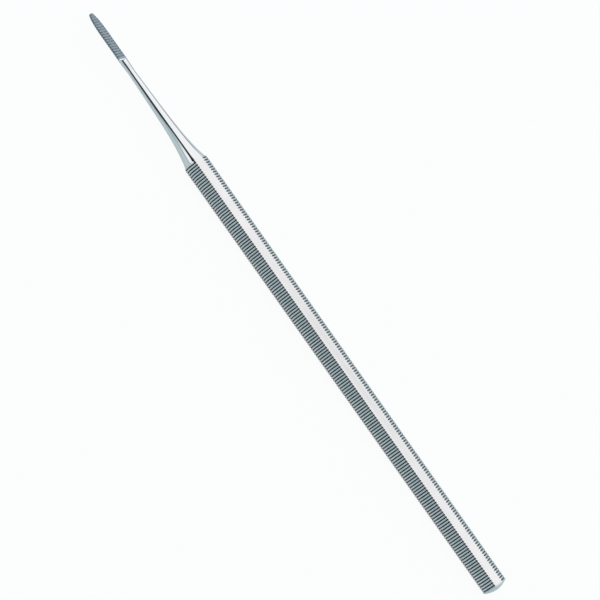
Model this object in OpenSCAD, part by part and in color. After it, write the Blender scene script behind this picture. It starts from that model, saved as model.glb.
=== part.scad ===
// Slim steel instrument rasp: a small flat rasp blade on a polished tapering shank,
// set in a hollow octagonal handle with fine transverse grooves and a domed end plug.
// The tool lies along X with the tip at -X. Two opposite flats of the handle are plain:
// one faces up, and the tool rests on the other, at Z = 0. The origin is under the middle.

/* [Rasp blade] */
// Length of the rasp blade, from its tip to where its flats have run out
blade_l = 13.2; // [8:0.1:20]
// Width of the blade, which is the diameter of the rod that it is milled from
blade_w = 1.95; // [1.75:0.05:3]
// Thickness of the blade between its two cut flats
blade_t = 0.95; // [0.7:0.05:1.4]
// Length of the rounded narrowing at the tip
tip_l = 5.4; // [3:0.1:7]
// Width of the blunt nose at the very tip
nose_w = 0.6; // [0.3:0.05:0.9]
// Radius that the cutter leaves where the flats run out into the neck
runout_r = 1; // [0.8:0.1:3]

/* [Rasp teeth] */
// Distance from one row of teeth to the next
tooth_pitch = 0.68; // [0.5:0.01:1.2]
// Depth of the cut between two rows
tooth_d = 0.12; // [0.05:0.01:0.15]
// Width of the cut between two rows, at the surface
tooth_gap = 0.4; // [0.2:0.01:0.45]
// Width of the cut between two rows, at its floor
tooth_floor = 0.1; // [0.05:0.01:0.18]
// Angle by which the rows lean from straight across the blade
tooth_lean = 17; // [0:1:30]
// Distance from the tip to the first cut, along the middle of the blade
tooth_start = 0.6; // [0.4:0.05:2]
// Plain length left between the last cut and the run-out
tooth_margin = 0.1; // [0.05:0.05:2]

/* [Shank] */
// Length of the shank, from the blade to the shoulder at the handle
shank_l = 28.3; // [15:0.1:45]
// Length of the neck behind the blade, over which the rod narrows
neck_l = 3.5; // [3:0.1:12]
// Diameter at the end of the neck, the thinnest place
neck_dia = 1.72; // [1.2:0.01:1.72]
// Diameter that the straight taper alone would reach at the shoulder
taper_dia = 3.15; // [2.5:0.01:4]
// Height of the handle's flats above the flare where they meet at the shoulder
shoulder_inset = 0.16; // [0.05:0.01:0.3]
// How suddenly the flare opens: a higher power stays slim for longer
flare_power = 5; // [3:1:8]

/* [Handle] */
// Length of the octagonal handle, from the shoulder to its flat butt end
handle_l = 117.5; // [80:0.1:150]
// Width of the handle across two opposite flats
handle_af = 5.62; // [4.4:0.02:8]
// Angle of the turned chamfer at the front, from the handle's axis
chamfer_angle = 30; // [20:1:45]
// Diameter of the bore through the handle
bore_dia = 3.6; // [3:0.1:3.9]

/* [Handle grooves] */
// Distance from one groove to the next
groove_pitch = 0.666; // [0.5:0.001:1.2]
// Depth of a groove
groove_d = 0.14; // [0.05:0.01:0.2]
// Width of a groove at the surface
groove_w = 0.38; // [0.2:0.01:0.45]
// Width of a groove at its floor
groove_floor_w = 0.12; // [0.05:0.01:0.18]
// Plain length between the shoulder and the first groove
groove_start = 0.45; // [0.3:0.05:3]
// Plain length between the last groove and the butt end
groove_end = 0.05; // [0.05:0.05:3]

/* [Fits] */
// Length of the tang inside the handle
tang_l = 18; // [8:0.5:30]
// Length of the chamfer at the end of the tang and of the plug's stem
lead_l = 0.4; // [0.2:0.1:0.8]
// Length of the plug's stem inside the handle
stem_l = 7; // [4:0.5:15]
// Clearance between tang or stem and the bore, on the radius
fit_gap = 0.01; // [0.005:0.005:0.03]

/* [End plug] */
// Height of the dome beyond the handle's butt end
dome_h = 1; // [0.6:0.05:1.6]
// Length of the octagon's corners that is left standing before the dome rounds them off
dome_land = 0.05; // [0.05:0.01:0.3]

/* [Hidden] */

SHOULDER_X = blade_l + shank_l;
BUTT_X = SHOULDER_X + handle_l;
OVERALL_L = BUTT_X + dome_h;

SIDES = 8;
FACE_ANGLE = 360 / SIDES;
CORNER_R = handle_af / 2 / cos(FACE_ANGLE / 2);
FACE_W = handle_af * tan(FACE_ANGLE / 2);
GROOVED_FACES = [1, 2, 3, 5, 6, 7];

SHOULDER_R = handle_af / 2 - shoulder_inset;
DOME_RISE = dome_h - dome_land;
DOME_R = (pow(CORNER_R, 2) + pow(DOME_RISE, 2)) / (2 * DOME_RISE);

GROOVE_N = floor((handle_l - groove_start - groove_end - groove_w) / groove_pitch) + 1;
RUNOUT_L = sqrt(pow(runout_r, 2) - pow(runout_r - (blade_w - blade_t) / 2, 2));
FLAT_L = blade_l - RUNOUT_L;
// How far a leaning row reaches past the place where it starts on the blade's middle line
ROW_REACH = blade_w / 2 * tan(tooth_lean) + tooth_gap / cos(tooth_lean);
TOOTH_ROWS = floor((FLAT_L - tooth_start - tooth_margin - ROW_REACH) / tooth_pitch) + 1;

FIT_R = bore_dia / 2 - fit_gap;
NECK_X = blade_l + neck_l;
TAPER_L = SHOULDER_X - NECK_X;
CUT_MARGIN = 1;
COMB_LIFT = 0.05;
SMOOTH = 96;
CURVE_STEPS = 24;

// Radius of the turned rod at a distance x from the tip.
// Tip: from a blunt nose to full width along a quarter of an ellipse.
function tip_r(x) = (nose_w + (blade_w - nose_w) * sqrt(1 - pow(1 - x / tip_l, 2))) / 2;
// Neck: a smooth step from the blade's width to the thinnest place.
function neck_r(t) = (blade_w + (neck_dia - blade_w) * t * t * (3 - 2 * t)) / 2;
// Flare: a straight taper, with a power curve that opens it at the shoulder.
function flare_r(t) =
    (neck_dia + (taper_dia - neck_dia) * t) / 2
    + (SHOULDER_R - taper_dia / 2) * pow(t, flare_power);

// Even steps from 0 to 1 along a curve, starting at the given one.
function steps(first) = [for (i = [first : CURVE_STEPS]) i / CURVE_STEPS];

// Puts what is modelled along X, with its axis at Z = 0 and the tip at X = 0, in its place.
module place() {
    translate([-OVERALL_L / 2, 0, handle_af / 2])
        children();
}

// Turns an outline of [distance from the tip, radius] points about the X axis.
module turned(points) {
    rotate([0, 90, 0])
        rotate_extrude($fn = SMOOTH)
            polygon([for (p = points) [p[1], p[0]]]);
}

// A comb for n cuts: tapered teeth that reach down from a back plate above the surface.
module comb(n, pitch, top_w, floor_w, depth, start, across) {
    centres = [for (i = [0 : n - 1]) start + top_w / 2 + i * pitch];
    root_w = top_w + (top_w - floor_w) * COMB_LIFT / depth;
    teeth = [
        for (c = centres)
            each [[c - root_w / 2, COMB_LIFT], [c - floor_w / 2, -depth],
                  [c + floor_w / 2, -depth], [c + root_w / 2, COMB_LIFT]]
    ];
    back = [[centres[n - 1] + root_w / 2, CUT_MARGIN], [centres[0] - root_w / 2, CUT_MARGIN]];
    rotate([90, 0, 0])
        linear_extrude(height = across, center = true)
            polygon(concat(teeth, back));
}

// The turned rod of the working end: tip, blade, neck, flare and tang in one outline.
module rod() {
    tip = [for (t = steps(0)) [tip_l * t * t, tip_r(tip_l * t * t)]];
    neck = [for (t = steps(0)) [blade_l + neck_l * t, neck_r(t)]];
    flare = [for (t = steps(1)) [NECK_X + TAPER_L * t, flare_r(t)]];
    tang = [
        [SHOULDER_X, FIT_R],
        [SHOULDER_X + tang_l - lead_l, FIT_R],
        [SHOULDER_X + tang_l, FIT_R - lead_l / 2],
        [SHOULDER_X + tang_l, 0]
    ];
    turned(concat([[0, 0]], tip, neck, flare, tang));
}

// What the cutter takes off one side of the rod to leave the blade's flat.
module flat_cutter() {
    translate([-CUT_MARGIN, -blade_w, blade_t / 2])
        cube([FLAT_L + CUT_MARGIN, 2 * blade_w, blade_w]);
    intersection() {
        translate([FLAT_L, 0, blade_t / 2 + runout_r])
            rotate([90, 0, 0])
                cylinder(r = runout_r, h = 2 * blade_w, center = true, $fn = SMOOTH);
        translate([FLAT_L, -blade_w, 0])
            cube([RUNOUT_L + CUT_MARGIN, 2 * blade_w, blade_w]);
    }
}

// The working end: rasp blade, neck, shank, shoulder and tang.
module working_end() {
    color("lightsteelblue")
        place()
            difference() {
                rod();
                for (side = [0, 180])
                    rotate([side, 0, 0]) {
                        flat_cutter();
                        translate([tooth_start, 0, blade_t / 2])
                            rotate([0, 0, -tooth_lean])
                                comb(TOOTH_ROWS, tooth_pitch * cos(tooth_lean), tooth_gap,
                                     tooth_floor, tooth_d, 0, 2 * blade_w);
                    }
            }
}

// The octagonal bar of the handle, with its turned chamfer at the front.
module handle_blank() {
    intersection() {
        translate([SHOULDER_X, 0, 0])
            rotate([0, 90, 0])
                rotate([0, 0, FACE_ANGLE / 2])
                    cylinder(r = CORNER_R, h = handle_l, $fn = SIDES);
        turned([
            [SHOULDER_X, 0],
            [SHOULDER_X, SHOULDER_R],
            [SHOULDER_X + handle_af / tan(chamfer_angle), SHOULDER_R + handle_af],
            [BUTT_X, SHOULDER_R + handle_af],
            [BUTT_X, 0]
        ]);
    }
}

// The handle: octagonal tube with six grooved flats and two plain ones.
module handle() {
    color("silver")
        place()
            difference() {
                handle_blank();
                for (i = GROOVED_FACES)
                    rotate([i * FACE_ANGLE, 0, 0])
                        translate([SHOULDER_X, 0, handle_af / 2])
                            comb(GROOVE_N, groove_pitch, groove_w, groove_floor_w, groove_d,
                                 groove_start, 2 * FACE_W);
                translate([SHOULDER_X - CUT_MARGIN, 0, 0])
                    rotate([0, 90, 0])
                        cylinder(d = bore_dia, h = handle_l + 2 * CUT_MARGIN, $fn = SMOOTH);
            }
}

// The dome of the end plug: an octagonal cap, rounded off by a sphere that leaves a short land
// on the corners and a longer one in the middle of each flat.
module dome() {
    intersection() {
        translate([BUTT_X, 0, 0])
            rotate([0, 90, 0])
                rotate([0, 0, FACE_ANGLE / 2])
                    cylinder(r = CORNER_R, h = dome_h, $fn = SIDES);
        translate([OVERALL_L - DOME_R, 0, 0])
            sphere(r = DOME_R, $fn = SMOOTH);
    }
}

// The end plug: dome and the stem that is pressed into the handle's bore.
module end_plug() {
    color("gainsboro")
        place() {
            dome();
            turned([
                [BUTT_X - stem_l, 0],
                [BUTT_X - stem_l, FIT_R - lead_l / 2],
                [BUTT_X - stem_l + lead_l, FIT_R],
                [BUTT_X, FIT_R],
                [BUTT_X, 0]
            ]);
        }
}

working_end();
handle();
end_plug();
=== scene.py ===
# %% [markdown]
# # A slim steel rasp with an octagonal, grooved handle
#
# The tool is modelled as three pieces of stainless steel: a working end (rasp blade, polished shank and a
# hidden tang), a hollow octagonal handle with fine grooves across six of its eight flats, and a domed plug in
# the butt end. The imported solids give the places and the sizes. This script builds finer skins over them,
# with crisp and slightly rounded edges, gives each its steel, and sets up a pale studio around the tool.
# Everything is in metres, along X, with the tip at -X and the resting flat at Z = 0.

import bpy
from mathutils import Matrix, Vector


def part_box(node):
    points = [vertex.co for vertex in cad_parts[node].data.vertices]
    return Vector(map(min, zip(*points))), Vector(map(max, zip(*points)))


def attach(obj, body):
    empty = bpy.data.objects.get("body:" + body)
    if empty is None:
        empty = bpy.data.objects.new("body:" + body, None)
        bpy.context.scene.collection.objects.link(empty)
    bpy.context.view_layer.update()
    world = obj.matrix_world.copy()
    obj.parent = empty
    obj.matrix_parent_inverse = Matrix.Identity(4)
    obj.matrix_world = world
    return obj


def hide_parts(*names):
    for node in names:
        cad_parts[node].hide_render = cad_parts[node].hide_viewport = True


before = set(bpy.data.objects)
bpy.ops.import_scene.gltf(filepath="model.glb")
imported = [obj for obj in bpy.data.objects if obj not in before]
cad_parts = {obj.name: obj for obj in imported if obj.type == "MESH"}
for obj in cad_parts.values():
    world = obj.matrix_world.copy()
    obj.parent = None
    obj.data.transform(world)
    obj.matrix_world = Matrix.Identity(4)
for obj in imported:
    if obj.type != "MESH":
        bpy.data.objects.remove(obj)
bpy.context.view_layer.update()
print("packed solids:", sorted(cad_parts))

# %% [markdown]
# ## Measures
#
# The frame says where each solid starts and ends, so the long dimensions are read from it. Only what a box
# can't say, such as the pitch of the grooves or the curve of the shank, is written here, in millimetres.

# %% Places read from the frame
import math

import bmesh
import bpy
from mathutils import Matrix, Vector

MM = 0.001
working_low, working_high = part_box("working_end")
handle_low, handle_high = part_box("handle")
plug_low, plug_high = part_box("end_plug")

TIP_X, TANG_END_X = working_low.x, working_high.x
SHOULDER_X, BUTT_X = handle_low.x, handle_high.x
STEM_X, DOME_X = plug_low.x, plug_high.x
FLAT_R = (handle_high.y - handle_low.y) / 2
AXIS_Z = (handle_high.z + handle_low.z) / 2
SIDES = 8
FACE_ANGLE = 2 * math.pi / SIDES
CORNER_R = FLAT_R / math.cos(FACE_ANGLE / 2)
print("handle, mm: length", round((BUTT_X - SHOULDER_X) / MM, 2), "across flats", round(2 * FLAT_R / MM, 2))

# %% Sizes of the working end
BLADE_L = 13.2 * MM
BLADE_R = 0.975 * MM
BLADE_H = 0.475 * MM
NOSE_R = 0.3 * MM
TIP_L = 5.4 * MM
RUNOUT_R = 1.0 * MM
NECK_L = 3.5 * MM
NECK_R = 0.86 * MM
TAPER_R = 1.575 * MM
SHOULDER_R = FLAT_R - 0.16 * MM
FLARE_POWER = 5
FIT_R = 1.79 * MM
BORE_R = 1.8 * MM
LEAD = 0.4 * MM
print("shank, mm:", round((SHOULDER_X - TIP_X - BLADE_L) / MM, 2))

# %% Sizes of the grooves
PITCH = 0.666 * MM
GROOVE_W = 0.38 * MM
GROOVE_FLOOR = 0.12 * MM
GROOVE_D = 0.14 * MM
GROOVE_START = 0.45 * MM
GROOVE_END = 0.05 * MM
CHAMFER = math.radians(30)
GROOVES = int((BUTT_X - SHOULDER_X - GROOVE_START - GROOVE_END - GROOVE_W) / PITCH) + 1
PLAIN_FLATS = (0, 4)
print("grooves along the handle:", GROOVES)

# %% [markdown]
# ## Skins from rings
#
# All three pieces are long and follow one axis, so each skin is a row of rings with the same number of
# points, joined by quads. The first and last rings are closed by a face, or left open where the next part of
# a skin is welded on. Points that fall together, such as where the blade's flat narrows to nothing, are
# merged afterwards.

# %% Helpers for skins
MERGE = 2e-7
SMOOTH_ANGLE = math.radians(32)
FLAT_WEIGHT = 100


def new_object(name, mesh):
    """A new object in the scene, at the origin."""
    made = bpy.data.objects.new(name, mesh)
    bpy.context.scene.collection.objects.link(made)
    return made


def skin(name, rings, cuts=None, closed_ends=True):
    """A mesh of quads between rings of points.

    cuts gives each point of each ring a value, from 0 on the surface to 1 at the floor of a cut."""
    bm = bmesh.new()
    # The cut values are kept on the points, and the steel darkens the cuts by them as painted shade.
    layer = bm.verts.layers.float.new("cut")
    rows = []
    for i, ring in enumerate(rings):
        row = [bm.verts.new(p) for p in ring]
        for k, v in enumerate(row):
            v[layer] = cuts[i][k] if cuts else 0.0
        rows.append(row)
    count = len(rows[0])
    for a, b in zip(rows, rows[1:]):
        for k in range(count):
            bm.faces.new((a[k], a[(k + 1) % count], b[(k + 1) % count], b[k]))
    if closed_ends:
        bm.faces.new(rows[0])
        bm.faces.new(rows[-1])
    mesh = bpy.data.meshes.new(name)
    tidy(bm, mesh)
    return new_object(name, mesh)


def tidy(bm, mesh):
    """Merges points that fall together, turns the faces outwards and writes the mesh."""
    bmesh.ops.remove_doubles(bm, verts=bm.verts, dist=MERGE)
    bmesh.ops.recalc_face_normals(bm, faces=bm.faces)
    bm.to_mesh(mesh)
    bm.free()


def finish_skin(piece, material):
    """Smooth shading with crisp edges, flat normals on the large faces, and the material."""
    mesh = piece.data
    mesh.materials.clear()
    mesh.materials.append(material)
    mesh.shade_smooth()
    mesh.set_sharp_from_angle(angle=SMOOTH_ANGLE)
    weighted = piece.modifiers.new("flat normals", "WEIGHTED_NORMAL")
    weighted.keep_sharp = True
    weighted.weight = FLAT_WEIGHT
    apply_modifiers(piece)


def apply_modifiers(piece):
    """Swaps the piece's mesh for the evaluated one, and removes the modifiers."""
    graph = bpy.context.evaluated_depsgraph_get()
    mesh = bpy.data.meshes.new_from_object(piece.evaluated_get(graph), depsgraph=graph)
    mesh.name = piece.name
    piece.modifiers.clear()
    piece.data = mesh


def report(piece):
    """Prints how many triangles a piece has, whether it is closed, and its volume."""
    bm = as_bmesh(piece.data)
    triangles = sum(len(f.verts) - 2 for f in bm.faces)
    open_edges = sum(len(e.link_faces) != 2 for e in bm.edges)
    volume = round(bm.calc_volume() / MM**3, 1)
    print(f"{piece.name}: {triangles} triangles, {open_edges} open edges, {volume} mm3")
    bm.free()


def as_bmesh(mesh):
    """A working copy of a mesh, to measure or to mend."""
    bm = bmesh.new()
    bm.from_mesh(mesh)
    return bm


def smoothstep(t):
    """A smooth step from 0 to 1 as t goes from 0 to 1."""
    t = min(max(t, 0.0), 1.0)
    return t * t * (3 - 2 * t)


# %% [markdown]
# ## Camera
#
# The tool is seen from above its front edge, 24 degrees away from square to the plain upper flat, with the
# tip at the upper left. The lens is long, so the handle keeps nearly the same width from end to end. The view
# is slightly oblique along the tool: the camera stands beside the rear half of the handle, which slants the
# grooves on the side flats a little.

# %% Camera values
VIEW_TILT = math.radians(24)
STAND_OFF = 657 * MM
STANDS_AT_X = 40.6 * MM
AIMS_AT_X = 1.07 * MM
AIMS_ABOVE = 1.4 * MM
SLANT = math.radians(54.76)
LENS = 174.3
SENSOR_W = 36
CLIP = (0.01, 20)


def unit(v):
    """A vector of length 1 in the same direction."""
    return v / v.length


# %% Place the camera
toward = Vector((0, -math.sin(VIEW_TILT), math.cos(VIEW_TILT)))
across = Vector((0, math.cos(VIEW_TILT), math.sin(VIEW_TILT)))
stands_at = Vector((STANDS_AT_X, 0, AXIS_Z)) + toward * STAND_OFF
aims_at = Vector((AIMS_AT_X, 0, AXIS_Z)) + across * AIMS_ABOVE
back = unit(stands_at - aims_at)
tool_in_view = unit(Vector((1, 0, 0)) - back * back.x)
side_in_view = back.cross(tool_in_view)
right = tool_in_view * math.cos(SLANT) + side_in_view * math.sin(SLANT)
up = -tool_in_view * math.sin(SLANT) + side_in_view * math.cos(SLANT)
camera_data = bpy.data.cameras.new("camera")
camera_data.sensor_width = SENSOR_W
camera_data.lens = LENS
camera_data.clip_start, camera_data.clip_end = CLIP
camera = new_object("camera", camera_data)
camera.matrix_world = Matrix.Translation(stands_at) @ Matrix((right, up, back)).transposed().to_4x4()
bpy.context.scene.camera = camera
print("camera stands, mm:", [round(v / MM) for v in stands_at])

# %% [markdown]
# ## Steel
#
# Stainless steel is a full metal: its colour is the colour of its reflection. What tells polished from satin
# is the roughness, and what makes it real is that neither is ever quite even. The polished base has a faint
# cloudy change of tone, fine scratches drawn along the tool, and a bump too small to see as shape. The satin
# of the blade and the floors of the cuts are laid over it, darker, rougher and patchier. The floors of the
# cuts are nearly black: that is painted shade, standing for the shade down in the grooves and between the
# teeth.

# %% Node helpers


def node_tree(owner):
    """The empty node tree of a material or a world."""
    owner.use_nodes = True
    owner.node_tree.nodes.clear()
    return owner.node_tree


def add(tree, kind, inputs=None, **settings):
    """A node with its settings, and with its inputs set to values or linked to sockets."""
    made = tree.nodes.new(kind)
    for name, value in settings.items():
        setattr(made, name, value)
    for name, value in (inputs or {}).items():
        if isinstance(value, bpy.types.NodeSocket):
            tree.links.new(value, made.inputs[name])
        else:
            made.inputs[name].default_value = value
    return made


def math_node(tree, operation, *values):
    """The result of a math node on numbers or sockets."""
    made = tree.nodes.new("ShaderNodeMath")
    made.operation = operation
    for k, value in enumerate(values):
        if isinstance(value, bpy.types.NodeSocket):
            tree.links.new(value, made.inputs[k])
        else:
            made.inputs[k].default_value = value
    return made.outputs[0]


def ramp(tree, value, stops, interpolation="LINEAR"):
    """A colour ramp with the given (position, colour) stops."""
    made = add(tree, "ShaderNodeValToRGB", {"Fac": value})
    made.color_ramp.interpolation = interpolation
    for k, (place, colour) in enumerate(stops):
        stop = made.color_ramp.elements[k] if k < 2 else made.color_ramp.elements.new(place)
        stop.position = place
        stop.color = (*colour, 1) if len(colour) == 3 else colour
    return made.outputs["Color"]


def grey(value):
    return (value, value, value)


# %% Finishes
EVEN = 0.03
PATCHY = 0.22
TONE_STOPS = (0.3, 0.7)
ROUGH_STOPS = ((0.35, 0.8), (0.7, 1.25))
SCRATCH_SCALE = (60, 9000, 9000)
CLOUD_SCALE = 260.0
PATCH_SCALE = 2400.0
FULL_AT = 0.6
BUMP = 0.02 * MM


def mix(tree, share, first, second):
    """A colour, or a grey number, between two. The Mix node has its colours at 6 and 7, the result at 2."""
    return add(tree, "ShaderNodeMix", {"Factor": share, 6: first, 7: second}, data_type="RGBA").outputs[2]


def attribute(tree, name):
    """A number stored on the points of the mesh."""
    return add(tree, "ShaderNodeAttribute", attribute_name=name).outputs["Fac"]


def drawn(tree, here):
    """Fine scratches along the tool, 0 to 1."""
    stretched = add(tree, "ShaderNodeMapping", {"Vector": here, "Scale": SCRATCH_SCALE}).outputs[0]
    return add(tree, "ShaderNodeTexNoise", {"Vector": stretched, "Scale": 1.0, "Detail": 3.0}).outputs["Fac"]


def cloudy(tree, here, scale):
    """Soft patches, 0 to 1."""
    return add(tree, "ShaderNodeTexNoise", {"Vector": here, "Scale": scale, "Detail": 4.0}).outputs["Fac"]


def finish_and_shade(tree, clouds, lines, tone, rough, spread):
    """Colour and roughness of a steel finish, and of the painted shade in cuts: clouds spread its tone, lines
    vary its roughness.
    """
    darker = tuple(c * (1 - spread) for c in tone)
    lighter = tuple(c * (1 + spread) for c in tone)
    colour = ramp(tree, clouds, list(zip(TONE_STOPS, (darker, lighter))))
    roughness = ramp(tree, lines, [(place, grey(rough * share)) for place, share in ROUGH_STOPS])
    return colour, roughness


def steel(name, base, over=(), scratch=0.02):
    """Steel with a base finish, and further layers laid over it where an attribute says: finishes, and the
    painted shade in cuts.

    Each layer is a tone and a roughness; each one in over starts with its attribute's name."""
    material = bpy.data.materials.new(name)
    tree = node_tree(material)
    here = add(tree, "ShaderNodeTexCoord").outputs["Object"]
    lines = drawn(tree, here)
    clouds = cloudy(tree, here, CLOUD_SCALE)
    colour, roughness = finish_and_shade(tree, clouds, lines, *base, EVEN)
    for where, tone, rough in over:
        laid_on = {"Value": attribute(tree, where), "From Max": FULL_AT}
        share = add(tree, "ShaderNodeMapRange", laid_on, clamp=True).outputs[0]
        patches = cloudy(tree, here, PATCH_SCALE)
        next_colour, next_rough = finish_and_shade(tree, patches, patches, tone, rough, PATCHY)
        colour = mix(tree, share, colour, next_colour)
        roughness = mix(tree, share, roughness, next_rough)
    bump = add(tree, "ShaderNodeBump", {"Height": lines, "Strength": scratch, "Distance": BUMP})
    shader = add(
        tree,
        "ShaderNodeBsdfPrincipled",
        {"Base Color": colour, "Metallic": 1.0, "Roughness": roughness, "Normal": bump.outputs[0]},
    )
    add(tree, "ShaderNodeOutputMaterial", {"Surface": shader.outputs[0]})
    return material


# %% The three steels
HANDLE_STEEL = steel(
    "handle_steel",
    ((0.85, 0.85, 0.855), 0.08),
    # The near-black cut tone is painted shade in the floors of the grooves.
    [("cut", (0.04, 0.07, 0.085), 0.30)],
)
WORKING_STEEL = steel(
    "working_steel",
    ((0.85, 0.865, 0.88), 0.06),
    # The satin is the blade's own finish; the near-black cut tone is painted shade in the cuts between the
    # teeth.
    [("satin", (0.31, 0.38, 0.425), 0.34), ("cut", (0.06, 0.08, 0.10), 0.40)],
)
PLUG_STEEL = steel("plug_steel", ((0.76, 0.78, 0.80), 0.12))
print("materials:", [m.name for m in (HANDLE_STEEL, WORKING_STEEL, PLUG_STEEL)])

# %% [markdown]
# ## The handle
#
# Grooves run straight across six of the flats. Cutting them all with booleans would be slow and leave ragged
# corners. So one groove is modelled as a short length of octagonal skin, a cell from the
# middle of one land to the middle of the next, and Geometry Nodes set it along a line for every groove but
# the first, which belongs to the chamfered front end. In each ring the grooved flats move inwards by the
# depth of the cut while the two plain flats stay, so the groove mitres round the corners by itself and nicks
# the edges of the plain flats, as a cutter does.

# %% Octagonal rings
EDGE_R = 0.34 * MM
LAND_EDGE = 0.035 * MM
INNER_POINTS = 2
CORNER_POINTS = 2


def outward(angle):
    """The direction across the axis at an angle from +Z towards -Y."""
    return Vector((0, -math.sin(angle), math.cos(angle)))


def octagon(x, inset=0.0, limit=None):
    """A ring round the octagon with rounded corners, and the cut value of each of its points.

    inset moves the grooved flats inwards, and limit is the radius of a circle that cuts the corners off."""
    points, cut = [], []
    offsets = [FLAT_R - (0 if i in PLAIN_FLATS else inset) for i in range(SIDES)]
    ease = EDGE_R * math.tan(FACE_ANGLE / 2)
    for i in range(SIDES):
        n, t = outward(i * FACE_ANGLE), outward(i * FACE_ANGLE + math.pi / 2)
        d, before, after = offsets[i], offsets[i - 1], offsets[(i + 1) % SIDES]
        start = -(before - d * math.cos(FACE_ANGLE)) / math.sin(FACE_ANGLE) + ease
        end = (after - d * math.cos(FACE_ANGLE)) / math.sin(FACE_ANGLE) - ease
        steps = [start + (end - start) * k / (INNER_POINTS + 1) for k in range(INNER_POINTS + 2)]
        points += [n * d + t * s for s in steps]
        centre = n * (d - EDGE_R) + t * end
        points += [
            centre + outward((i + k / (CORNER_POINTS + 1)) * FACE_ANGLE) * EDGE_R
            for k in range(1, CORNER_POINTS + 1)
        ]
        share = 0.0 if i in PLAIN_FLATS else inset / GROOVE_D
        cut += [share] * (len(steps) + CORNER_POINTS)
    if limit is not None:
        points = [p * min(1.0, limit / p.length) for p in points]
    return [Vector((x, p.y, AXIS_Z + p.z)) for p in points], cut


RING_POINTS = len(octagon(0)[0])


def circle(x, radius):
    """A ring of the same number of points on a circle, lined up with the octagon's."""
    ring = []
    for p in octagon(0)[0]:
        reach = math.hypot(p.y, p.z - AXIS_Z)
        ring.append(Vector((x, p.y * radius / reach, AXIS_Z + (p.z - AXIS_Z) * radius / reach)))
    return ring


print("points in a ring:", RING_POINTS)

# %% One groove
EDGE_DIP = 0.28


def groove_profile():
    """Distances along one cell, from mid land to mid land, with the depth at each."""
    edge = (PITCH - GROOVE_W) / 2
    slope = GROOVE_D / ((GROOVE_W - GROOVE_FLOOR) / 2)
    half = [
        (0.0, 0.0),
        (edge - LAND_EDGE, 0.0),
        (edge, LAND_EDGE * slope * EDGE_DIP),
        (edge + LAND_EDGE, LAND_EDGE * slope),
        ((PITCH - GROOVE_FLOOR) / 2, GROOVE_D),
    ]
    return half + [(PITCH - x, depth) for x, depth in reversed(half)]


def groove_rings(start, chamfered=False):
    """The rings of one cell, and their cut values."""
    rings, cuts = [], []
    for x, depth in groove_profile():
        limit = SHOULDER_R + (start + x - SHOULDER_X) * math.tan(CHAMFER) if chamfered else None
        ring, cut = octagon(start + x, depth, limit)
        rings.append(ring)
        cuts.append(cut)
    return rings, cuts


FIRST_CELL = SHOULDER_X + GROOVE_START - (PITCH - GROOVE_W) / 2
cell_rings, cell_cuts = groove_rings(FIRST_CELL + PITCH)
cell = skin("handle_skin", cell_rings, cell_cuts, closed_ends=False)
print("one groove:", len(cell.data.polygons), "faces")

# %% The handle's two ends, with the first groove and the bore
NOSE_STEP = GROOVE_START / 8
front_rings, front_cuts = groove_rings(FIRST_CELL, chamfered=True)
nose = [circle(SHOULDER_X, BORE_R), octagon(SHOULDER_X, 0, SHOULDER_R)[0]]
nose += [
    octagon(SHOULDER_X + k * NOSE_STEP, 0, SHOULDER_R + k * NOSE_STEP * math.tan(CHAMFER))[0]
    for k in (1, 2, 3, 4)
]
last_x = FIRST_CELL + GROOVES * PITCH
blank = [0.0] * RING_POINTS
rear = [octagon(last_x)[0], octagon(BUTT_X)[0], circle(BUTT_X, BORE_R), circle(SHOULDER_X, BORE_R)]
front_end = skin("front_end", nose + front_rings, [blank] * len(nose) + front_cuts, closed_ends=False)
rear_end = skin("rear_end", rear, [blank] * len(rear), closed_ends=False)
print("rings: front end", len(nose) + len(front_rings), "rear end", len(rear))

# %% [markdown]
# ## Repeating the groove with Geometry Nodes
#
# The tree puts an instance of the cell on each point of a straight line, joins the two ends, makes everything
# real geometry, welds the seams and sets the material.

# %% The tree that repeats the groove


def socket(tree, name, kind, output=False):
    """A new input or output of a tree. Returns its identifier."""
    made = tree.interface.new_socket(name, in_out="OUTPUT" if output else "INPUT", socket_type=kind)
    return made.identifier


def repeat_tree():
    """Geometry Nodes that repeat a cell along X, join the ends and weld them."""
    tree = bpy.data.node_groups.new("repeat grooves", "GeometryNodeTree")
    socket(tree, "Geometry", "NodeSocketGeometry")
    names = {
        "Count": socket(tree, "Count", "NodeSocketInt"),
        "Pitch": socket(tree, "Pitch", "NodeSocketFloat"),
        "Front": socket(tree, "Front", "NodeSocketObject"),
        "Rear": socket(tree, "Rear", "NodeSocketObject"),
        "Weld": socket(tree, "Weld", "NodeSocketFloat"),
        "Material": socket(tree, "Material", "NodeSocketMaterial"),
    }
    socket(tree, "Geometry", "NodeSocketGeometry", output=True)
    given = tree.nodes.new("NodeGroupInput").outputs
    step = add(tree, "ShaderNodeCombineXYZ", {"X": given["Pitch"]}).outputs[0]
    line = add(tree, "GeometryNodeMeshLine", {"Count": given["Count"], "Offset": step}).outputs[0]
    cells = add(
        tree, "GeometryNodeInstanceOnPoints", {"Points": line, "Instance": given["Geometry"]}
    ).outputs[0]
    joined = tree.nodes.new("GeometryNodeJoinGeometry")
    for end in ("Rear", "Front"):
        found = add(tree, "GeometryNodeObjectInfo", {"Object": given[end]}).outputs["Geometry"]
        tree.links.new(found, joined.inputs[0])
    tree.links.new(cells, joined.inputs[0])
    real = add(tree, "GeometryNodeRealizeInstances", {"Geometry": joined.outputs[0]}).outputs[0]
    welded = add(
        tree, "GeometryNodeMergeByDistance", {"Geometry": real, "Distance": given["Weld"]}
    ).outputs[0]
    painted = add(
        tree, "GeometryNodeSetMaterial", {"Geometry": welded, "Material": given["Material"]}
    ).outputs[0]
    add(tree, "NodeGroupOutput", {"Geometry": painted})
    return tree, names


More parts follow.
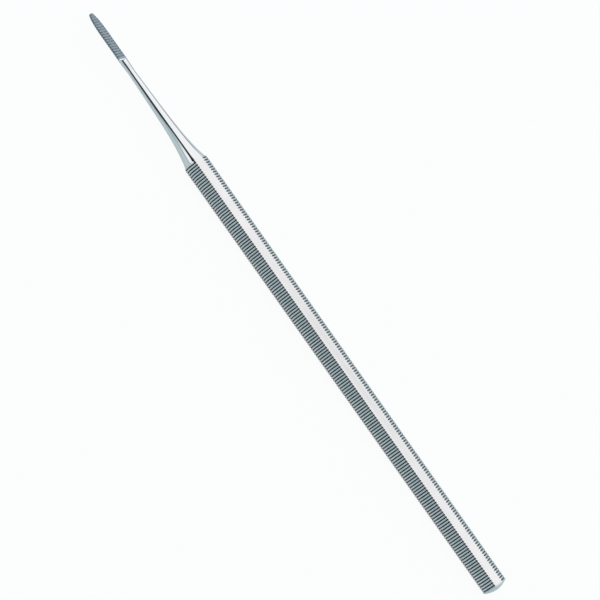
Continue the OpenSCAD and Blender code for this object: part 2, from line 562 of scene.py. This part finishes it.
# %% Run it on the handle
tree, names = repeat_tree()
modifier = cell.modifiers.new("grooves", "NODES")
modifier.node_group = tree
values = {
    "Count": GROOVES - 1,
    "Pitch": PITCH,
    "Front": front_end,
    "Rear": rear_end,
    "Weld": 2 * MERGE,
    "Material": HANDLE_STEEL,
}
for name, value in values.items():
    modifier[names[name]] = value
apply_modifiers(cell)
for end in (front_end, rear_end):
    bpy.data.objects.remove(end)
bm = as_bmesh(cell.data)
tidy(bm, cell.data)
finish_skin(cell, HANDLE_STEEL)
handle_skin = cell
report(handle_skin)

# %% [markdown]
# ## The working end
#
# One turned rod: a rounded tip, the blade's full width, a neck that narrows, a taper that flares out to the
# shoulder, and the plain tang behind it. The blade is that rod with two flats milled on it, which run out in
# a small radius behind the teeth. So each ring is a circle cut by two flats, and where the flats would lie
# outside the rod the ring is round.

# %% The rod's outline
NECK_X = TIP_X + BLADE_L + NECK_L
RUNOUT_L = math.sqrt(RUNOUT_R**2 - (RUNOUT_R - (BLADE_R - BLADE_H)) ** 2)
FLAT_END_X = TIP_X + BLADE_L - RUNOUT_L


def rod_radius(x):
    """Radius of the turned rod at x."""
    s = x - TIP_X
    if s < TIP_L:
        return NOSE_R + (BLADE_R - NOSE_R) * math.sqrt(max(0.0, 1 - (1 - s / TIP_L) ** 2))
    if s <= BLADE_L:
        return BLADE_R
    if x <= NECK_X:
        return BLADE_R + (NECK_R - BLADE_R) * smoothstep((s - BLADE_L) / NECK_L)
    t = (x - NECK_X) / (SHOULDER_X - NECK_X)
    return NECK_R + (TAPER_R - NECK_R) * t + (SHOULDER_R - TAPER_R) * t**FLARE_POWER


def flat_height(x):
    """Height of the blade's flats above the axis, and of the scoop where they run out."""
    if x <= FLAT_END_X:
        return BLADE_H
    run = x - FLAT_END_X
    if run >= RUNOUT_L:
        return math.inf
    return BLADE_H + RUNOUT_R - math.sqrt(RUNOUT_R**2 - run**2)


print("blade's flats, mm:", round((FLAT_END_X - TIP_X) / MM, 2), "run-out, mm:", round(RUNOUT_L / MM, 2))

# %% Rings of a rod with two flats
FLAT_POINTS = 16
ARC_POINTS = 36


def rod_ring(x, radius=None):
    """A ring of the rod at x: its two flats, with an arc on either side."""
    r = rod_radius(x) if radius is None else radius
    h = min(flat_height(x), r)
    half_w = math.sqrt(max(0.0, r * r - h * h))
    turn = math.atan2(h, half_w)
    points = []
    for side in (1, -1):
        for k in range(FLAT_POINTS):
            points.append((side * half_w * (2 * k / FLAT_POINTS - 1), side * h))
        for k in range(ARC_POINTS):
            a = turn - 2 * turn * k / ARC_POINTS
            points.append((side * r * math.cos(a), side * r * math.sin(a)))
    return [Vector((x, y, AXIS_Z + z)) for y, z in points]


def spaced(start, end, step):
    """Even places from start up to, but not at, end."""
    count = max(1, round((end - start) / step))
    return [start + (end - start) * k / count for k in range(count)]


# %% The rod's skin, fine on the blade and in the flare
NOSE_ROUND = 0.12 * MM
FIRST_STEP = 0.012 * MM
FIRST_RINGS = 5
BLADE_STEPS_FROM = 0.32 * MM
BLADE_STEP = 0.034 * MM
RUNOUT_STEP = 0.04 * MM
NECK_STEP = 0.3 * MM
TAPER_STEP = 0.4 * MM
FLARE_STEP = 0.1 * MM
FLARE_L = 5 * MM
stations = [TIP_X + FIRST_STEP * k * k for k in range(1, FIRST_RINGS + 1)]
stations += spaced(TIP_X + BLADE_STEPS_FROM, FLAT_END_X, BLADE_STEP)
stations += spaced(FLAT_END_X, TIP_X + BLADE_L, RUNOUT_STEP)
stations += spaced(TIP_X + BLADE_L, NECK_X, NECK_STEP)
stations += spaced(NECK_X, SHOULDER_X - FLARE_L, TAPER_STEP)
stations += spaced(SHOULDER_X - FLARE_L, SHOULDER_X, FLARE_STEP)
rings = [rod_ring(TIP_X, NOSE_R - NOSE_ROUND)]
rings += [rod_ring(x) for x in stations]
rings += [rod_ring(SHOULDER_X, r) for r in (SHOULDER_R, FIT_R)]
rings += [rod_ring(TANG_END_X - LEAD, FIT_R), rod_ring(TANG_END_X, FIT_R - LEAD / 2)]
rod = skin("working_end_skin", rings)
print("rod:", len(rings), "rings")

# %% [markdown]
# ## Cutting the teeth
#
# A rasp this small isn't punched tooth by tooth: rows are cut across the blade at a slight lean, and a
# second, lighter set of cuts runs over them at a larger one. Both sets follow one rule, so Geometry Nodes cut
# them: every point of the blade is pressed in towards the axis by the depth of the cut at its place. The same
# rule nicks the edges of the blade, where the rows are deepest, and a little noise keeps the rows from being
# perfect.

# %% The tree that cuts the teeth
TOOTH_PITCH = 0.68 * MM
TOOTH_D = 0.12 * MM
TOOTH_START = 0.3 * MM
TOOTH_LEAN = math.tan(math.radians(17))
WOBBLE_SCALE = 900.0
FADE = (0.1, 0.6)
STEEP = 5.0
GENTLE_FROM = 1.25
GENTLE = 2.1


def cut_tree():
    """Geometry Nodes that press crossing rows of cuts into the blade, towards its axis."""
    tree = bpy.data.node_groups.new("cut teeth", "GeometryNodeTree")
    socket(tree, "Geometry", "NodeSocketGeometry")
    floats = (
        "Axis Height", "Half Width", "Half Height", "First Cut", "Last Cut", "Satin End", "Row Pitch",
        "Row Lean", "Cross Pitch", "Cross Lean", "Cross Share", "Depth", "Middle Share", "Unevenness",
    )
    names = {name: socket(tree, name, "NodeSocketFloat") for name in floats}
    names["Material"] = socket(tree, "Material", "NodeSocketMaterial")
    socket(tree, "Geometry", "NodeSocketGeometry", output=True)
    given = tree.nodes.new("NodeGroupInput").outputs
    place = tree.nodes.new("GeometryNodeInputPosition").outputs[0]
    parts = add(tree, "ShaderNodeSeparateXYZ", {"Vector": place}).outputs
    grain = {"Vector": place, "Scale": WOBBLE_SCALE, "Detail": 1.0}
    noise = add(tree, "ShaderNodeTexNoise", grain).outputs["Fac"]
    wobble = math_node(tree, "MULTIPLY", math_node(tree, "SUBTRACT", noise, 0.5), given["Unevenness"])
    run = math_node(tree, "ADD", math_node(tree, "SUBTRACT", parts["X"], given["First Cut"]), wobble)
    up_from_axis = math_node(tree, "SUBTRACT", parts["Z"], given["Axis Height"])
    face = math_node(tree, "SIGN", up_from_axis)
    to_flat = math_node(tree, "DIVIDE", math_node(tree, "ABSOLUTE", up_from_axis), given["Half Height"])
    fade = {"Value": to_flat, "From Min": FADE[0], "From Max": FADE[1]}
    on_flat = add(tree, "ShaderNodeMapRange", fade).outputs[0]

    def squared(place, lean):
        """A place along the blade, measured square to rows that lean."""
        slant = math_node(tree, "MULTIPLY", math_node(tree, "MULTIPLY", parts["Y"], face), given[lean])
        return math_node(tree, "SUBTRACT", place, slant)

    def cuts(pitch, lean):
        """0 on a tooth, 1 at the bottom of a cut: a notch with one steep side in each pitch."""
        along_row = math_node(tree, "DIVIDE", squared(run, lean), given[pitch])
        phase = math_node(tree, "FRACT", along_row)
        steep = math_node(tree, "MULTIPLY", phase, STEEP)
        gentle = math_node(tree, "SUBTRACT", GENTLE_FROM, math_node(tree, "MULTIPLY", phase, GENTLE))
        return math_node(tree, "MAXIMUM", math_node(tree, "MINIMUM", steep, gentle), 0.0)

    side = math_node(tree, "DIVIDE", math_node(tree, "ABSOLUTE", parts["Y"]), given["Half Width"])
    edge = math_node(tree, "POWER", side, 2.0)
    deeper = add(tree, "ShaderNodeMapRange", {"Value": edge, "To Min": given["Middle Share"]}).outputs[0]
    rows = math_node(tree, "MULTIPLY", cuts("Row Pitch", "Row Lean"), deeper)
    crossing = math_node(tree, "MULTIPLY", cuts("Cross Pitch", "Cross Lean"), given["Cross Share"])
    deep = math_node(tree, "MINIMUM", math_node(tree, "MAXIMUM", rows, crossing), 1.0)
    after = math_node(tree, "GREATER_THAN", parts["X"], given["First Cut"])
    level = squared(parts["X"], "Row Lean")
    until = math_node(tree, "LESS_THAN", level, given["Last Cut"])
    satin = math_node(tree, "LESS_THAN", level, given["Satin End"])
    inside = math_node(tree, "MULTIPLY", math_node(tree, "MULTIPLY", after, until), on_flat)
    deep = math_node(tree, "MULTIPLY", deep, inside)
    from_axis = add(tree, "ShaderNodeCombineXYZ", {"Y": parts["Y"], "Z": up_from_axis}).outputs[0]
    outwards = add(tree, "ShaderNodeVectorMath", {0: from_axis}, operation="NORMALIZE").outputs[0]
    inwards = math_node(tree, "MULTIPLY", math_node(tree, "MULTIPLY", deep, given["Depth"]), -1.0)
    scaled = {0: outwards, "Scale": inwards}
    shift = add(tree, "ShaderNodeVectorMath", scaled, operation="SCALE").outputs[0]
    flow = given["Geometry"]
    # The cut depth is kept on the points for the steel, which darkens the cuts by it as painted shade; satin
    # marks the blade's own finish.
    for name, value in (("cut", deep), ("satin", satin)):
        flow = add(
            tree,
            "GeometryNodeStoreNamedAttribute",
            {"Geometry": flow, "Name": name, "Value": value},
            data_type="FLOAT",
            domain="POINT",
        ).outputs[0]
    moved = add(tree, "GeometryNodeSetPosition", {"Geometry": flow, "Offset": shift}).outputs[0]
    real = add(tree, "GeometryNodeRealizeInstances", {"Geometry": moved}).outputs[0]
    painted = add(
        tree, "GeometryNodeSetMaterial", {"Geometry": real, "Material": given["Material"]}
    ).outputs[0]
    add(tree, "NodeGroupOutput", {"Geometry": painted})
    return tree, names


# %% Cut them
tree, names = cut_tree()
modifier = rod.modifiers.new("teeth", "NODES")
modifier.node_group = tree
values = {
    "Axis Height": AXIS_Z,
    "Half Width": BLADE_R,
    "Half Height": BLADE_H,
    "First Cut": TIP_X + TOOTH_START,
    "Last Cut": FLAT_END_X - 0.1 * MM,
    "Satin End": FLAT_END_X + 0.42 * MM,
    "Row Pitch": TOOTH_PITCH,
    "Row Lean": TOOTH_LEAN,
    "Cross Pitch": 0.55 * MM,
    "Cross Lean": 0.9,
    "Cross Share": 0.25,
    "Depth": TOOTH_D,
    "Middle Share": 0.45,
    "Unevenness": 0.28 * MM,
    "Material": WORKING_STEEL,
}
for name, value in values.items():
    modifier[names[name]] = value
apply_modifiers(rod)
finish_skin(rod, WORKING_STEEL)
working_end_skin = rod
report(working_end_skin)

# %% [markdown]
# ## The end plug
#
# The dome is a slice of a sphere that leaves a short land on the octagon's corners and a longer one in the
# middle of each flat, so its edge is scalloped. Its rings shrink from the octagon's outline towards the axis,
# and each point's distance along the tool follows the sphere. Behind it is the round stem that sits in the
# bore.

# %% The dome and its stem
DOME_H = DOME_X - BUTT_X
DOME_LAND = 0.05 * MM
DOME_RISE = DOME_H - DOME_LAND
DOME_R = (CORNER_R**2 + DOME_RISE**2) / (2 * DOME_RISE)
DOME_RINGS = 16


def dome_ring(share):
    """A ring on the dome, at a share of the way from the axis to the octagon's edge."""
    ring = []
    for p in octagon(0)[0]:
        y, z = p.y * share, (p.z - AXIS_Z) * share
        rise = math.sqrt(DOME_R**2 - y * y - z * z) - DOME_R + DOME_H
        ring.append(Vector((BUTT_X + rise, y, AXIS_Z + z)))
    return ring


rings = [circle(STEM_X, FIT_R - LEAD / 2), circle(STEM_X + LEAD, FIT_R), circle(BUTT_X, FIT_R)]
rings += [octagon(BUTT_X)[0]]
rings += [dome_ring(math.sin(math.pi / 2 * (1 - k / DOME_RINGS))) for k in range(DOME_RINGS)]
end_plug_skin = skin("end_plug_skin", rings)
finish_skin(end_plug_skin, PLUG_STEEL)
report(end_plug_skin)

# %% [markdown]
# ## The studio
#
# Polished steel shows its surroundings, so the surroundings are part of its look. The room is a set of bands
# by angle about the tool: white over it and behind it, pale in front, a little darker lower down, and a
# darker gap at the foot of the back. Where the white meets the pale front there is a dark opening, which
# draws the crisp dark line down a polished rod. It shifts and widens with the direction along the tool, so
# the line changes where the shank tapers and flares. Towards the tip the white reaches further round, as a
# glow, and a slight shade lies straight across the tool.
#
# Camera and transmission rays see plain white instead. Metal sees the room and the floor with only a share of
# that white over them, small in the room and larger in the floor: with all of it, the dark line and the
# outlines of the shank are lost.

# %% The room, by angle about the tool
WHITE = (1.03, 1.03, 1.04)
PALE = (0.40, 0.53, 0.565)
LOW = (0.36, 0.47, 0.49)
GAP = (0.20, 0.19, 0.21)
BANDS = [
    (-180, LOW), (-92, GAP), (-78, GAP), (-72, WHITE),
    (25, WHITE), (31, PALE), (66, PALE), (88, LOW), (180, LOW),
]
GLOW_X = (-0.46, -0.27)
GLOW_TURN = (64, 84)
SHADE_X = (-0.03, 0.05)
SHADE = 0.15


def ease(tree, value, start, end, low=0.0, high=1.0):
    """A smooth step from low to high as value goes from start to end."""
    return add(
        tree,
        "ShaderNodeMapRange",
        {"Value": value, "From Min": start, "From Max": end, "To Min": low, "To Max": high},
        interpolation_type="SMOOTHSTEP",
    ).outputs[0]


def bell(tree, value, centre, width):
    """A soft hump: 1 at the centre, and about a third of that a width away."""
    off = math_node(tree, "DIVIDE", math_node(tree, "SUBTRACT", value, centre), width)
    squared = math_node(tree, "MULTIPLY", off, off)
    return math_node(tree, "EXPONENT", math_node(tree, "MULTIPLY", squared, -1.0))


def room_colour(tree, along, degrees):
    """The bands about the tool, with the glow towards the tip and the shade straight across."""
    share = math_node(tree, "MULTIPLY_ADD", degrees, 1 / 360, 0.5)
    room = ramp(tree, share, [((a + 180) / 360, colour) for a, colour in BANDS])
    towards_tip = ease(tree, along, *GLOW_X, 1.0, 0.0)
    above = ease(tree, degrees, *GLOW_TURN, 1.0, 0.0)
    room = mix(tree, math_node(tree, "MULTIPLY", towards_tip, above), room, (*WHITE, 1))
    shade = add(tree, "ShaderNodeMapRange", {"Value": bell(tree, along, *SHADE_X), "To Max": SHADE})
    return mix(tree, shade.outputs[0], room, (0, 0, 0, 1))


print("white, degrees:", [a for a, colour in BANDS if colour == WHITE])

# %% The dark opening
DARK = (0.001, 0.010, 0.016)
OPENING_X = (-0.18, 0.06)
OPENING_CENTRE = (31, 15)
OPENING_HALF = (12, 12)
OPENING_EDGE = 3
WIDER_X = (-0.14, -0.09)
WIDER = (8, 8.5)
TIP_END_X = (-0.62, -0.48)
TIP_END_WIDER = 7.0


def opening(tree, along, degrees):
    """1 inside the dark opening and 0 outside it, with a soft edge."""
    swell = bell(tree, along, *OPENING_X)
    centre = math_node(tree, "MULTIPLY_ADD", swell, OPENING_CENTRE[1], OPENING_CENTRE[0])
    half = math_node(tree, "MULTIPLY_ADD", swell, OPENING_HALF[1], OPENING_HALF[0])
    centre = math_node(tree, "ADD", centre, ease(tree, along, *WIDER_X, 0.0, WIDER[0]))
    half = math_node(tree, "ADD", half, ease(tree, along, *WIDER_X, 0.0, WIDER[1]))
    half = math_node(tree, "ADD", half, ease(tree, along, *TIP_END_X, TIP_END_WIDER, 0.0))
    off_centre = math_node(tree, "ABSOLUTE", math_node(tree, "SUBTRACT", degrees, centre))
    past_edge = math_node(tree, "SUBTRACT", off_centre, half)
    return ease(tree, past_edge, -OPENING_EDGE, OPENING_EDGE, 1.0, 0.0)


# %% The world
HAZE = 0.02


def white_share(tree, to_camera, in_metal):
    """How much plain white a ray sees: one share for camera and transmission rays, one for glossy."""
    rays = add(tree, "ShaderNodeLightPath").outputs
    direct = math_node(tree, "MAXIMUM", rays["Is Camera Ray"], rays["Is Transmission Ray"])
    direct = math_node(tree, "MULTIPLY", direct, to_camera)
    glossy = math_node(tree, "MULTIPLY", rays["Is Glossy Ray"], in_metal)
    return math_node(tree, "MAXIMUM", direct, glossy)


def studio_world():
    """The room as steel sees it, and plain white for the camera."""
    world = bpy.data.worlds.new("studio")
    bpy.context.scene.world = world
    tree = node_tree(world)
    direction = add(tree, "ShaderNodeTexCoord").outputs["Generated"]
    parts = add(tree, "ShaderNodeSeparateXYZ", {"Vector": direction}).outputs
    forwards = math_node(tree, "MULTIPLY", parts["Y"], -1.0)
    degrees = math_node(tree, "DEGREES", math_node(tree, "ARCTAN2", forwards, parts["Z"]))
    room = room_colour(tree, parts["X"], degrees)
    shown = mix(tree, opening(tree, parts["X"], degrees), room, (*DARK, 1))
    colour = mix(tree, white_share(tree, 1.0, HAZE), shown, (1, 1, 1, 1))
    light = add(tree, "ShaderNodeBackground", {"Color": colour, "Strength": 1.0}).outputs[0]
    add(tree, "ShaderNodeOutputWorld", {"Surface": light})
    return len(tree.nodes)


print("nodes in the world:", studio_world())

# %% Floor
FLOOR_SIZE = 6.0
FLOOR_COLOUR = (0.40, 0.59, 0.63)
FLOOR_GLOW = 1.05
SHOWN_WHITE = 0.90
SHOWN_IN_METAL = 0.35


def floor_material():
    """A matt floor that takes the shadow, with a share of plain white over it."""
    material = bpy.data.materials.new("pale_floor")
    tree = node_tree(material)
    matt = add(tree, "ShaderNodeBsdfDiffuse", {"Color": (*FLOOR_COLOUR, 1)}).outputs[0]
    white = add(tree, "ShaderNodeEmission", {"Color": (1, 1, 1, 1), "Strength": FLOOR_GLOW}).outputs[0]
    share = white_share(tree, SHOWN_WHITE, SHOWN_IN_METAL)
    mixed = add(tree, "ShaderNodeMixShader", {0: share, 1: matt, 2: white}).outputs[0]
    add(tree, "ShaderNodeOutputMaterial", {"Surface": mixed})
    return material


half = FLOOR_SIZE / 2
corners = [(-half, -half, 0), (half, -half, 0), (half, half, 0), (-half, half, 0)]
floor_mesh = bpy.data.meshes.new("floor")
floor_mesh.from_pydata(corners, [], [(0, 1, 2, 3)])
floor_mesh.materials.append(floor_material())
floor = new_object("floor", floor_mesh)
print("floor, m:", FLOOR_SIZE, "white share: camera", SHOWN_WHITE, "metal", SHOWN_IN_METAL)

# %% Colour as it is written
bpy.context.scene.view_settings.view_transform = "Standard"
print("view transform:", bpy.context.scene.view_settings.view_transform)

# %% [markdown]
# ## Tie the skins to the frame
#
# Each skin rides on the one body of this tool, and the solid it stands for is hidden.

# %% Ride, and hide the solids
for piece, node, slot in (
    (handle_skin, "handle", "handle_steel"),
    (working_end_skin, "working_end", "polished_steel"),
    (end_plug_skin, "end_plug", "plug_steel"),
):
    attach(piece, "root")
    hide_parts(node)
